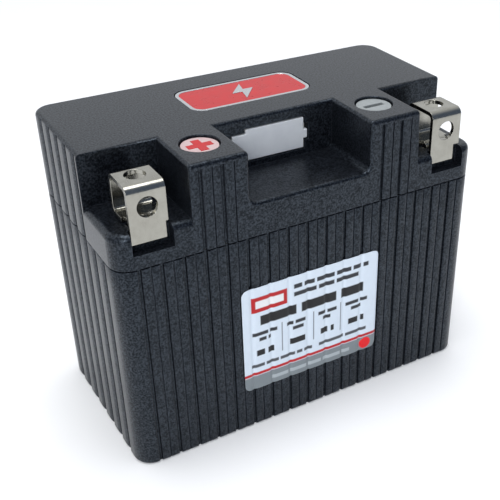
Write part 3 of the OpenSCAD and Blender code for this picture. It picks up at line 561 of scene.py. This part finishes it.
LABEL_STEP = 0.18 * MM
LABEL_R = 2 * MM
SAG = 0.3 * MM
SAG_WIDTH = 0.62 * MM


def label_sheet(node, side):
    """A sheet of u across and v up. Its half width is full in the middle and shrinks near the top and
    bottom along a circle of the corner radius. Its face lies 0.01 mm inside the outer face of the node's
    box, and sinks by a bell curve over each deep groove."""
    low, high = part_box(node)
    half_w, half_h = high.x, (high.z - low.z) / 2
    across = int(2 * half_w / LABEL_STEP)
    up = int(2 * half_h / LABEL_STEP)
    u, v = np.meshgrid(np.linspace(-1, 1, across + 1), np.linspace(-1, 1, up + 1))
    z = v * half_h
    past = np.maximum(0, abs(z) - (half_h - LABEL_R))
    x = u * (half_w - LABEL_R + np.sqrt(np.maximum(LABEL_R**2 - past**2, 0)))
    first_line = -(RIB_LINES - 1) / 2 * RIB_PITCH
    from_groove = (x - first_line) % (2 * RIB_PITCH)
    from_groove = np.minimum(from_groove, 2 * RIB_PITCH - from_groove)
    sag = SAG * np.exp(-((from_groove / SAG_WIDTH) ** 2))
    face = (high.y if side > 0 else -low.y) - 0.01 * MM
    points = np.stack([x, side * (face - sag), z + low.z + half_h], -1).reshape(-1, 3)
    here = (np.arange(up)[:, None] * (across + 1) + np.arange(across)).ravel()
    faces = np.stack([here, here + 1, here + across + 2, here + across + 1], 1)
    if side > 0:
        faces = faces[:, ::-1]
    mesh = bpy.data.meshes.new(node)
    mesh.from_pydata(points.tolist(), [], faces.tolist())
    mesh.polygons.foreach_set("use_smooth", np.ones(len(mesh.polygons), bool))
    piece = bpy.data.objects.new(node + "_film", mesh)
    bpy.context.collection.objects.link(piece)
    return piece, -side * x.ravel(), (z + half_h).ravel()


def bar(x, z, left, right, low, high, soft=0.15):
    """How much of an upright box of ink covers a point: 1 inside, 0 outside, turning over soft at its
    edges."""
    inside = np.minimum(np.minimum(x - left, right - x), np.minimum(z - low, high - z))
    return np.clip(inside / soft + 0.5, 0, 1)


def print_line(x, z, left, right, low, high, seed, word=2.4):
    """A line of print too small to read, in millimetres: word-long bars of ink with gaps between them,
    from a seeded draw."""
    draw = np.random.default_rng(seed)
    ink = np.zeros(len(x))
    at = left
    while at < right - 0.6:
        end = min(at + word * draw.uniform(0.5, 1.5), right)
        ink = np.maximum(ink, bar(x, z, at, end, low, high))
        at = end + (high - low) * 0.55
    return ink


def mix_in(colour, ink, code):
    """Paints a colour over the sheet where ink is 1."""
    colour += ink[:, None] * (np.array(linear(code)[:3]) - colour)


# Polyester film with a satin laminate. Its print is held point by point on the sheet, at 0.18 mm, and
# the film has a faint mottle and a fine orange peel.
film, tree, shader, place = new_finish("printed polyester film")
ink = add(tree, "ShaderNodeAttribute", {}, attribute_name="print")
mottle = add(tree, "ShaderNodeTexNoise", {"Vector": place, "Scale": 1 / (2.2 * MM), "Detail": 3.0})
weave = add(tree, "ShaderNodeTexNoise", {"Vector": place, "Scale": 1 / (0.5 * MM), "Detail": 2.0})
shade = add(tree, "ShaderNodeMapRange", {"Value": mottle.outputs[0], "To Min": 0.94, "To Max": 1.02})
tinted = add(tree, "ShaderNodeVectorMath", {0: ink.outputs["Color"], "Scale": shade.outputs[0]},
             operation="SCALE")
gloss = add(tree, "ShaderNodeMapRange", {"Value": mottle.outputs[0], "To Min": 0.30, "To Max": 0.45})
sink = add(tree, "ShaderNodeBump", {"Height": weave.outputs[0], "Strength": 0.12, "Distance": 0.03 * MM})
tree.links.new(tinted.outputs[0], shader.inputs["Base Color"])
tree.links.new(gloss.outputs[0], shader.inputs["Roughness"])
tree.links.new(sink.outputs[0], shader.inputs["Normal"])
shader.inputs["IOR"].default_value = 1.57
shader.inputs["Specular IOR Level"].default_value = 0.25

# The print is laid out in millimetres from the sheet's lower left corner.
FILM_WHITE, FRAME_RED, FRAME_WHITE = "d6e1ec", "b5161c", "e9e9ea"
HEAD_INK, BOLD_INK, SMALL_INK, GREY_INK = "2a2d33", "17181b", "2c2e33", "4a4d52"
RULE_RED, BAND_GREY, BAND_INK, DOT_RED = "b8101a", "7d8589", "aab2b6", "e8101a"
LABEL_HALF = 22.8
COLUMNS = ((2.4, 11.6), (13.6, 22.2), (24.2, 31.6), (33.6, 42.6))
DOT_X, DOT_Z, DOT_R = 41.7, 2.4, 2.0

for node, side in (("front_label", -1), ("rear_label", 1)):
    sheet, x, z = label_sheet(node, side)
    x, z = x / MM + LABEL_HALF, z / MM
    colour = np.tile(np.array(linear(FILM_WHITE)[:3]), (len(x), 1))
    mix_in(colour, bar(x, z, 3.0, 14.4, 26.6, 31.6), FRAME_RED)
    mix_in(colour, bar(x, z, 4.2, 13.2, 27.9, 30.3), FRAME_WHITE)
    mix_in(colour, print_line(x, z, 16.6, 42.0, 30.6, 32.0, 3, 4.6), HEAD_INK)
    mix_in(colour, print_line(x, z, 16.6, 38.6, 28.0, 29.4, 4, 5.2), HEAD_INK)
    mix_in(colour, print_line(x, z, 5.6, 40.4, 22.0, 25.2, 5, 9.0), BOLD_INK)
    for k, (left, right) in enumerate(COLUMNS):
        middle, half = (left + right) / 2, (right - left) / 2
        for share, low, high, seed, word, code in (
            (0.86, 18.6, 19.8, 10, 3.4, SMALL_INK),
            (0.42, 16.6, 17.8, 20, 3.0, SMALL_INK),
            (0.62, 11.6, 13.6, 30, 3.6, BOLD_INK),
        ):
            start, end = middle - half * share, middle + half * share
            mix_in(colour, print_line(x, z, start, end, low, high, seed + k, word), code)
        if k:
            mix_in(colour, bar(x, z, left - 1.2, left - 0.95, 10.6, 20.6), GREY_INK)
    mix_in(colour, print_line(x, z, 2.4, 22.6, 7.6, 8.7, 40, 3.4), GREY_INK)
    mix_in(colour, print_line(x, z, 25.0, 42.0, 7.6, 8.7, 41, 6.0), GREY_INK)
    mix_in(colour, bar(x, z, -1, 47, 4.9, 5.9), RULE_RED)
    mix_in(colour, bar(x, z, -1, 47, -1, 4.7), BAND_GREY)
    mix_in(colour, print_line(x, z, 9.0, 36.0, 1.6, 2.8, 50, 4.2), BAND_INK)
    dot = (DOT_R - np.hypot(x - DOT_X, z - DOT_Z)) / 0.1
    mix_in(colour, np.clip(dot + 0.5, 0, 1), DOT_RED)
    layer = sheet.data.attributes.new("print", "FLOAT_COLOR", "POINT")
    layer.data.foreach_set("color",
                           np.concatenate([colour, np.ones((len(x), 1))], 1).astype(np.float32).ravel())
    backing = sheet.modifiers.new("film_thickness", "SOLIDIFY")
    backing.thickness = 0.12 * MM
    backing.offset = -1
    dress(sheet, "battery", "label_film", film, node)

# ---- seam, potting and rivets -------------------------------------------------
# Case and cover are welded along a bead set back from the seam. Each terminal's
# tail is potted under the shelf and riveted to a strap from the cells.

# Melted and set ABS: the same black, smoother and shinier, with the ripple of the weld.
weld = even_finish("black ABS, welded bead", ("08090a", "101113"), 1.5 * MM, (0.3, 0.5), 0.2 * MM)[0]
seal_low, seal_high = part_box("seam_seal")
inset = HALF[0] - seal_high.x
BEAD_DEEP = 1.2 * MM
bead = [(inset, z, CORNER_R - inset) for z in (seal_low.z, seal_high.z)]
bead += [(inset + BEAD_DEEP, z, CORNER_R - inset - BEAD_DEEP) for z in (seal_high.z, seal_low.z)]
seam = skin_of_rings("weld_bead", [carried_rings(bead, outline, ribbed=False)], joined=True)
dress(seam, "battery", "seal_black", weld, "seam_seal")

# Potting compound: black silicone, matt, poured level round the tail.
potting = even_finish("black silicone potting", ("0c0c0e", "17181a"), 1 * MM, (0.5, 0.7), 0.1 * MM)[0]
seals = rounded_copy("tail_seals", "tail_potting", all_edges, 0.25 * MM)
dress(seals, "battery", "seal_black", potting, "tail_seals")
rivets = rounded_copy("tail_rivets", "tail_rivet_heads", all_edges, 0.2 * MM)
dress(rivets, "battery", "nickel", nickel, "tail_rivets")
contacts = rounded_copy("port_pins", "port_contacts", all_edges, 0.12 * MM, segments=2)
dress(contacts, "battery", "nickel", nickel, "port_pins")

# ---- cells --------------------------------------------------------------------
# Four flat lithium cells stand side by side. Each is a stack of foils sealed in a
# deep-drawn aluminium laminate bag, with a flat heat-sealed seam on top that its
# two tabs come through.

# Laminated foil: satin aluminium under clear nylon, creased where the bag was drawn.
pouch_foil, tree, shader, place = even_finish("aluminium laminate film", ("b9bbbd", "d2d3d4"), 9 * MM,
                                              (0.28, 0.42), 0.5 * MM)[:4]
crease = add(tree, "ShaderNodeTexVoronoi", {"Vector": place, "Scale": 1 / (3 * MM)}, feature="SMOOTH_F1")
fold = add(tree, "ShaderNodeBump",
           {"Height": crease.outputs["Distance"], "Strength": 0.3, "Distance": 0.15 * MM})
tree.links.new(fold.outputs[0], shader.inputs["Normal"])
shader.inputs["Metallic"].default_value = 1.0

# Rows of (height in millimetres, share of the full width, share of the full thickness).
POUCH_H = 49
POUCH = np.array([
    (0, 0.95, 0.62), (0.3, 0.975, 0.84), (1.2, 0.992, 0.96), (3, 1, 1), (21, 1, 1), (39, 1, 1),
    (41.5, 0.994, 0.96), (43, 0.98, 0.66), (44.3, 0.972, 0.26), (45.2, 0.968, 0.13), (48.9, 0.968, 0.13),
    (POUCH_H, 0.966, 0.12),
])


def pouch(low, high):
    """Rings of one cell. Each is a curve where the eighth powers of the shares across and through add
    to one, so a rectangle with soft corners; the share of full width and of full thickness follows the
    height, down to the flat seam on top."""
    angle = np.radians(np.arange(0, 360, 3.75) + 1.9)
    across = np.sign(np.cos(angle)) * abs(np.cos(angle)) ** 0.25
    through = np.sign(np.sin(angle)) * abs(np.sin(angle)) ** 0.25
    middle, half = (low + high) / 2, (high - low) / 2
    x = middle[0] + POUCH[:, 1, None] * half[0] * across
    y = middle[1] + POUCH[:, 2, None] * half[1] * through
    z = np.broadcast_to(low[2] + POUCH[:, 0, None] / POUCH_H * (high[2] - low[2]), x.shape)
    return np.stack([x, y, z], -1)


for k in range(1, 5):
    node = f"cell_{k}"
    bag = skin_of_rings(f"pouch_cell_{k}", [pouch(*(np.array(c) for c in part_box(node)))])
    dress(bag, "battery", "pouch_foil", pouch_foil, node)

# ---- tabs, links and straps ---------------------------------------------------
# The cells' tabs come up through a glass-fibre board and are folded flat on it.
# Nickel links join them in series, and copper straps lead to the two terminals.

# Rolled aluminium tab: satin, with fine lines from the mill.
tab_aluminium, _, shader = even_finish("rolled aluminium tab", ("c2c3c5", "d8d9da"), 2 * MM, (0.25, 0.42),
                                       0.05 * MM)[:3]
shader.inputs["Metallic"].default_value = 1.0

# Rolled copper: bright where new, browner in patches.
copper, _, shader = even_finish("rolled copper", ("b9694a", "d98d68"), 4 * MM, (0.22, 0.4), 0.05 * MM)[:3]
shader.inputs["Metallic"].default_value = 1.0

# Closed-cell foam: dark grey, matt, with cut cells of about 0.8 mm.
foam, tree, shader, place = even_finish("dark polyethylene foam", ("2e3033", "3d4043"), 6 * MM,
                                        (0.8, 0.95), 0.1 * MM)[:4]
cells = add(tree, "ShaderNodeTexVoronoi", {"Vector": place, "Scale": 1 / (0.8 * MM)})
pits = add(tree, "ShaderNodeBump",
           {"Height": cells.outputs["Distance"], "Strength": 0.6, "Distance": 0.3 * MM})
tree.links.new(pits.outputs[0], shader.inputs["Normal"])

# Bare glass-fibre laminate: straw green, with its 0.6 mm weave showing through the resin.
glass_board, tree, shader, place = even_finish("glass-fibre laminate", ("8f9c5c", "a3ad70"), 8 * MM,
                                               (0.3, 0.45), 0.02 * MM)[:4]
warp = add(tree, "ShaderNodeTexWave", {"Vector": place, "Scale": 1 / (3.8 * MM), "Distortion": 0.3},
           bands_direction="X")
weft = add(tree, "ShaderNodeTexWave", {"Vector": place, "Scale": 1 / (3.8 * MM), "Distortion": 0.3},
           bands_direction="Y")
cloth = add(tree, "ShaderNodeMath", {0: warp.outputs["Fac"], 1: weft.outputs["Fac"]}, operation="MAXIMUM")
cloth_tone = add(tree, "ShaderNodeMix", {0: cloth.outputs[0], 6: linear("7f8c50"), 7: linear("a9b378")},
                 data_type="RGBA")
tree.links.new(cloth_tone.outputs[2], shader.inputs["Base Color"])

# Green solder mask over copper tracks: glossy, and lighter where a track runs under it.
green_board, tree, shader, place, cloud = even_finish("green circuit board", ("0b4a26", "115c30"), 6 * MM,
                                                      (0.22, 0.34), 0.02 * MM)
run = add(tree, "ShaderNodeTexWave", {"Vector": place, "Scale": 1 / (4.8 * MM), "Distortion": 0.0},
          bands_direction="X")
line = add(tree, "ShaderNodeMapRange", {"Value": run.outputs["Fac"], "From Min": 0.78, "From Max": 0.86})
part = add(tree, "ShaderNodeMapRange", {"Value": cloud.outputs[0], "From Min": 0.48, "From Max": 0.52})
track = add(tree, "ShaderNodeMath", {0: line.outputs[0], 1: part.outputs[0]}, operation="MULTIPLY")
mask = add(tree, "ShaderNodeMix", {0: track.outputs[0], 6: linear("0e5229"), 7: linear("2c8a4c")},
           data_type="RGBA")
tree.links.new(mask.outputs[2], shader.inputs["Base Color"])

# Moulded epoxy of a chip: near black, fine matt grain.
epoxy = even_finish("black moulded epoxy", ("111214", "1b1c1f"), 0.4 * MM, (0.45, 0.62), 0.02 * MM)[0]

# Silicone lead insulation, black or red: soft sheen.
black_lead = even_finish("black silicone insulation", ("101113", "1c1d20"), 1.5 * MM, (0.38, 0.52),
                         0.05 * MM)[0]
red_lead = even_finish("red silicone insulation", ("9c1016", "b81a1e"), 1.5 * MM, (0.38, 0.52),
                       0.05 * MM)[0]

INNER = (
    ("positive_lugs", "aluminium_lug", tab_aluminium, 0.08), ("negative_lugs", "copper", copper, 0.08),
    ("series_links", "nickel", nickel, 0.15), ("positive_strap", "copper", copper, 0.15),
    ("negative_strap", "copper", copper, 0.15), ("cell_pads", "foam", foam, 0.2), ("end_pads", "foam",
                                                                                   foam, 0.3),
    ("base_pad", "foam", foam, 0.3), ("tab_board", "glass_board", glass_board, 0.1),
    ("tab_board_screws", "nickel", nickel, 0.1), ("board_posts", "white_nylon", white_nylon, 0.2),
    ("balance_board", "green_board", green_board, 0.1), ("balance_board_screws", "nickel", nickel, 0.1),
    ("board_chips", "chip_black", epoxy, 0.15), ("board_resistors", "chip_black", epoxy, 0.12),
)
for node, slot, material, roll in INNER:
    piece = rounded_copy(node, node + "_finished", all_edges, roll * MM, segments=2)
    dress(piece, "battery", slot, material, node)

# ---- leads --------------------------------------------------------------------
# Five silicone leads run from the port's contacts to the balance board, and five
# more from the board down to the links and straps, one for each cell joint.

LEAD_R = 0.7 * MM


def lead(guide, side):
    """Rings of one round lead. Its middle follows the smooth cubic curve pulled by four guide points,
    in millimetres, and each ring is a circle square to the curve, between side and the direction across
    it."""
    p, t = np.array(guide) * MM, np.linspace(0, 1, 21)[:, None]
    middle = (1 - t) ** 3 * p[0] + 3 * t * (1 - t) ** 2 * p[1] + 3 * t**2 * (1 - t) * p[2] + t**3 * p[3]
    heading = (1 - t) ** 2 * (p[1] - p[0]) + 2 * t * (1 - t) * (p[2] - p[1]) + t**2 * (p[3] - p[2])
    across = np.cross(heading, side)
    across /= np.linalg.norm(across, axis=1)[:, None]
    a = np.radians(np.arange(0, 360, 30))[None, :, None]
    return middle[:, None] + LEAD_R * (np.cos(a) * np.array(side, float) + np.sin(a) * across[:, None])


# A port lead leaves its contact to the back and turns down to the board, at the given y and z. A joint
# lead drops from the board and goes outwards to its link or strap, at the given x and z.
PORT_GUIDE = ((5.2, 80.9), (12.2, 80.9), (9.4, 73.2), (9.4, 65.2))
PORT_X = (-5, -2.5, 0, 2.5, 5)
JOINT_GUIDE = ((24, 63.6), (24, 60.6), (34, 61.4), (34, 58.8))
JOINT_ENDS = ((-1, -13.4), (1, -12), (-1, 0), (1, 12), (-1, 19.8))

port = [lead([(x, y, z) for y, z in PORT_GUIDE], (1, 0, 0)) for x in PORT_X]
dress(skin_of_rings("port_leads", port), "battery", "lead_black", black_lead, "balance_leads")
joints = [lead([(s * x, y, z) for x, z in JOINT_GUIDE], (0, 1, 0)) for s, y in JOINT_ENDS]
dress(skin_of_rings("joint_leads", joints), "battery", "lead_red", red_lead, "sense_leads")

# ---- stage ------------------------------------------------------------------
# A pale paper sweep, a large soft light overhead and one at the front left. The sky
# lights the scene, bright behind and dark and cool in front, and is seen as white.

floor_mesh = bpy.data.meshes.new("floor")
floor_mesh.from_pydata([(-3, -3, 0), (3, -3, 0), (3, 3, 0), (-3, 3, 0)], [], [(0, 1, 2, 3)])
floor = bpy.data.objects.new("floor", floor_mesh)
bpy.context.collection.objects.link(floor)
paper, tree, shader, place = new_finish("pale paper sweep")
fibre = add(tree, "ShaderNodeTexNoise", {"Vector": place, "Scale": 1 / (30 * MM), "Detail": 3.0})
tone = add(tree, "ShaderNodeMix", {0: fibre.outputs[0], 6: linear("f4f4f4"), 7: linear("f8f8f8")},
           data_type="RGBA")
tree.links.new(tone.outputs[2], shader.inputs["Base Color"])
shader.inputs["Roughness"].default_value = 0.9
floor_mesh.materials.append(paper)


def soft_box(name, place, aim, size, power):
    """A square studio light of the given side, turned to face a point."""
    lamp = bpy.data.lights.new(name, "AREA")
    lamp.shape = "SQUARE"
    lamp.size = size
    lamp.energy = power
    box = bpy.data.objects.new(name, lamp)
    box.location = place
    box.rotation_mode = "QUATERNION"
    box.rotation_quaternion = (Vector(aim) - Vector(place)).to_track_quat("-Z", "Y")
    bpy.context.collection.objects.link(box)


MIDDLE = (0, 0, 0.05)
soft_box("overhead", (0.0, -0.05, 1.1), MIDDLE, 0.6, 6.5)
soft_box("front_left", (-0.6, -0.9, 0.6), MIDDLE, 0.5, 6.0)

BRIGHT_SIDE = (-0.25, 0.85, 0.45)
FRONT_SKY = (0.14, 0.18, 0.26, 1)
BACK_SKY = (0.92, 0.94, 0.97, 1)
world = bpy.data.worlds.new("studio")
world.use_nodes = True
tree = world.node_tree
toward = tree.nodes.new("ShaderNodeTexCoord").outputs["Generated"]
rise = add(tree, "ShaderNodeVectorMath", {0: toward, 1: BRIGHT_SIDE}, operation="DOT_PRODUCT")
bright = add(tree, "ShaderNodeMapRange",
             {"Value": rise.outputs["Value"], "From Min": -0.35, "From Max": 0.6},
             interpolation_type="SMOOTHSTEP")
sky = add(tree, "ShaderNodeMix", {0: bright.outputs[0], 6: FRONT_SKY, 7: BACK_SKY}, data_type="RGBA")
seen = tree.nodes.new("ShaderNodeLightPath").outputs["Is Camera Ray"]
backdrop = add(tree, "ShaderNodeMix", {0: seen, 6: sky.outputs[2], 7: (1.0, 1.0, 1.0, 1)},
               data_type="RGBA")
tree.links.new(backdrop.outputs[2], tree.nodes["Background"].inputs["Color"])
bpy.context.scene.world = world
bpy.context.scene.view_settings.view_transform = "Standard"

# The camera stands in front and to the left, looking down on the deck.
AZIMUTH, ELEVATION, ROLL = math.radians(-32.06), math.radians(32.70), math.radians(0.55)
CAMERA_AT = (-0.1127, -0.2136, 0.1821)
level = math.cos(ELEVATION)
back = Vector((math.sin(AZIMUTH) * level, -math.cos(AZIMUTH) * level, math.sin(ELEVATION)))
right = Vector((math.cos(AZIMUTH), math.sin(AZIMUTH), 0))
up = back.cross(right)
tilted_right = right * math.cos(ROLL) + up * math.sin(ROLL)
tilted_up = up * math.cos(ROLL) - right * math.sin(ROLL)
camera = bpy.data.objects.new("camera", bpy.data.cameras.new("camera"))
camera.matrix_world = Matrix((
    (tilted_right.x, tilted_up.x, back.x, CAMERA_AT[0]),
    (tilted_right.y, tilted_up.y, back.y, CAMERA_AT[1]),
    (tilted_right.z, tilted_up.z, back.z, CAMERA_AT[2]),
    (0, 0, 0, 1),
))
camera.data.sensor_width = 36
camera.data.lens = 64.75
camera.data.shift_x = -0.143
camera.data.shift_y = 0.072
camera.data.clip_start = 0.01
bpy.context.collection.objects.link(camera)
bpy.context.scene.camera = camera
